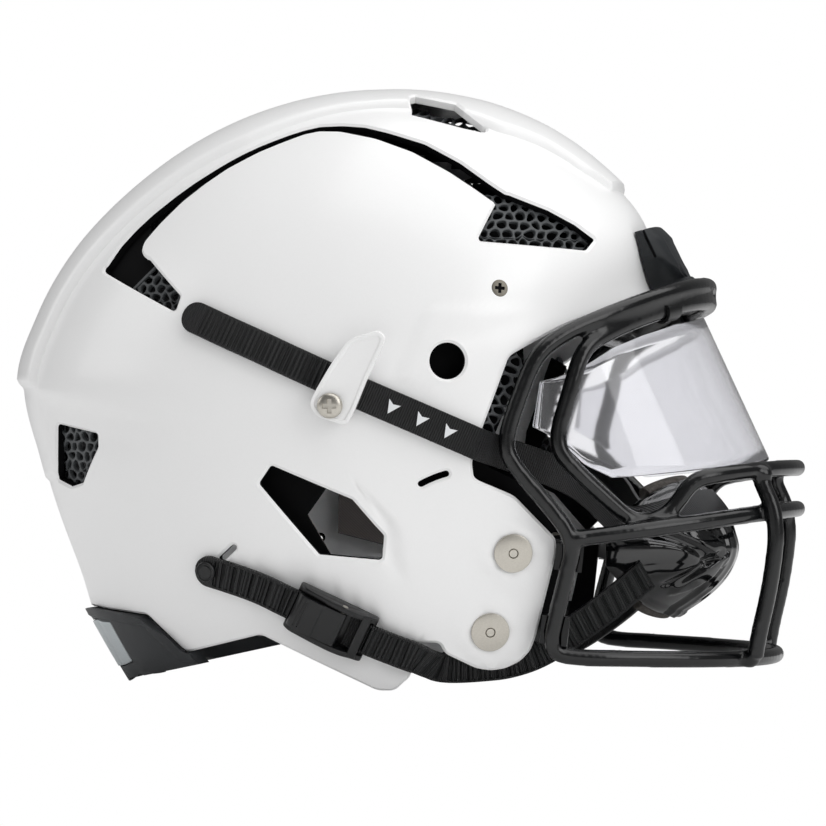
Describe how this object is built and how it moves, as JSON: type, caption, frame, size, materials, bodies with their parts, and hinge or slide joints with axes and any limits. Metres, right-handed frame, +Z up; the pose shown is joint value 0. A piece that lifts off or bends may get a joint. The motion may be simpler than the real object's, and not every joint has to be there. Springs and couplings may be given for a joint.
{
  "type": "american football helmet",
  "caption": "White football helmet with a raised crown band, vented shell, black wire face guard, clear visor, padded liner and buckled chin strap with a hard cup.",
  "frame": {"origin": "on the floor, under the middle of the box round the helmet and its guard", "axes": "+X forward through the face, +Y towards the wearer's left ear, +Z up through the crown"},
  "size_m": [0.342, 0.261, 0.2555],
  "materials": {
    "shell_white": "gloss white moulding",
    "bumper_charcoal": "satin charcoal moulding",
    "insert_grey": "satin pale grey",
    "guard_coat": "semi-gloss black coat over steel wire",
    "clip_black": "satin black moulding",
    "visor_clear": "clear, faintly grey",
    "nickel_plate": "brushed nickel plate",
    "strap_black": "ribbed satin black",
    "cup_black": "gloss black",
    "cup_foam": "dark foam",
    "liner_pad": "black covered foam"
  },
  "bodies": {
    "helmet": {"outer_shell": "shell_white", "brow_plate": "bumper_charcoal", "nape_bumper": "bumper_charcoal", "nape_insert": "insert_grey", "guard_outer_loop": "guard_coat", "guard_eye_loop": "guard_coat", "guard_mouth_bar": "guard_coat", "guard_upright_right": "guard_coat", "guard_upright_left": "guard_coat", "guard_clip_upper_right": "clip_black", "guard_clip_upper_left": "clip_black", "guard_clip_lower_right": "clip_black", "guard_clip_lower_left": "clip_black", "visor": "visor_clear", "visor_clip_right": "clip_black", "visor_clip_left": "clip_black", "release_caps": "nickel_plate", "pan_screws": "nickel_plate", "flat_screws": "nickel_plate", "tee_nuts": "nickel_plate", "upper_strap_right": "strap_black", "upper_strap_left": "strap_black", "ladder_strap_right": "strap_black", "ladder_strap_left": "strap_black", "strap_rivets": "strap_black", "ratchet_base_right": "clip_black", "ratchet_base_left": "clip_black", "ratchet_hinge_pins": "nickel_plate", "lower_strap_right": "strap_black", "lower_strap_left": "strap_black", "chin_cup": "cup_black", "chin_cup_foam": "cup_foam", "chin_strap_band": "strap_black", "brow_pad": "liner_pad", "crown_pad": "liner_pad", "back_pad": "liner_pad", "nape_pad": "liner_pad", "side_pad_right": "liner_pad", "side_pad_left": "liner_pad", "jaw_pad_right": "liner_pad", "jaw_pad_left": "liner_pad"},
    "cam_lever_right": {"cam_lever_right": "shell_white"},
    "cam_lever_left": {"cam_lever_left": "shell_white"},
    "ratchet_lever_right": {"ratchet_lever_right": "clip_black"},
    "ratchet_lever_left": {"ratchet_lever_left": "clip_black"},
    "release_pin_upper_right": {"release_pin_upper_right": "nickel_plate"},
    "release_pin_upper_left": {"release_pin_upper_left": "nickel_plate"},
    "release_pin_lower_right": {"release_pin_lower_right": "nickel_plate"},
    "release_pin_lower_left": {"release_pin_lower_left": "nickel_plate"}
  },
  "joints": [
    {"name": "cam_lever_right_turn", "type": "hinge", "parent": "helmet", "child": "cam_lever_right", "pos_m": [-0.0134, -0.11966, 0.1177], "axis": [0.0466, -0.9937, -0.1017], "range_deg": [0, 75]},
    {"name": "ratchet_lever_right_lift", "type": "hinge", "parent": "helmet", "child": "ratchet_lever_right", "pos_m": [-0.01272, -0.11353, 0.02656], "axis": [0.4384, -0.2308, 0.8687], "range_deg": [0, 60], "stiffness_Nm_per_rad": 0.04, "springref_deg": -11.46},
    {"name": "release_pin_upper_right_press", "type": "slide", "parent": "helmet", "child": "release_pin_upper_right", "axis": [-0.307, 0.941, 0.1422], "range_m": [0, 0.002], "stiffness_N_per_m": 1200, "springref_m": -0.002},
    {"name": "release_pin_lower_right_press", "type": "slide", "parent": "helmet", "child": "release_pin_lower_right", "axis": [-0.2926, 0.936, 0.1958], "range_m": [0, 0.002], "stiffness_N_per_m": 1200, "springref_m": -0.002},
    {"name": "cam_lever_left_turn", "type": "hinge", "parent": "helmet", "child": "cam_lever_left", "pos_m": [-0.0134, 0.11966, 0.1177], "axis": [-0.0466, -0.9937, 0.1017], "range_deg": [0, 75]},
    {"name": "ratchet_lever_left_lift", "type": "hinge", "parent": "helmet", "child": "ratchet_lever_left", "pos_m": [-0.01272, 0.11353, 0.02656], "axis": [-0.4384, -0.2308, -0.8687], "range_deg": [0, 60], "stiffness_Nm_per_rad": 0.04, "springref_deg": -11.46},
    {"name": "release_pin_upper_left_press", "type": "slide", "parent": "helmet", "child": "release_pin_upper_left", "axis": [-0.307, -0.941, 0.1422], "range_m": [0, 0.002], "stiffness_N_per_m": 1200, "springref_m": -0.002},
    {"name": "release_pin_lower_left_press", "type": "slide", "parent": "helmet", "child": "release_pin_lower_left", "axis": [-0.2926, -0.936, 0.1958], "range_m": [0, 0.002], "stiffness_N_per_m": 1200, "springref_m": -0.002}
  ]
}
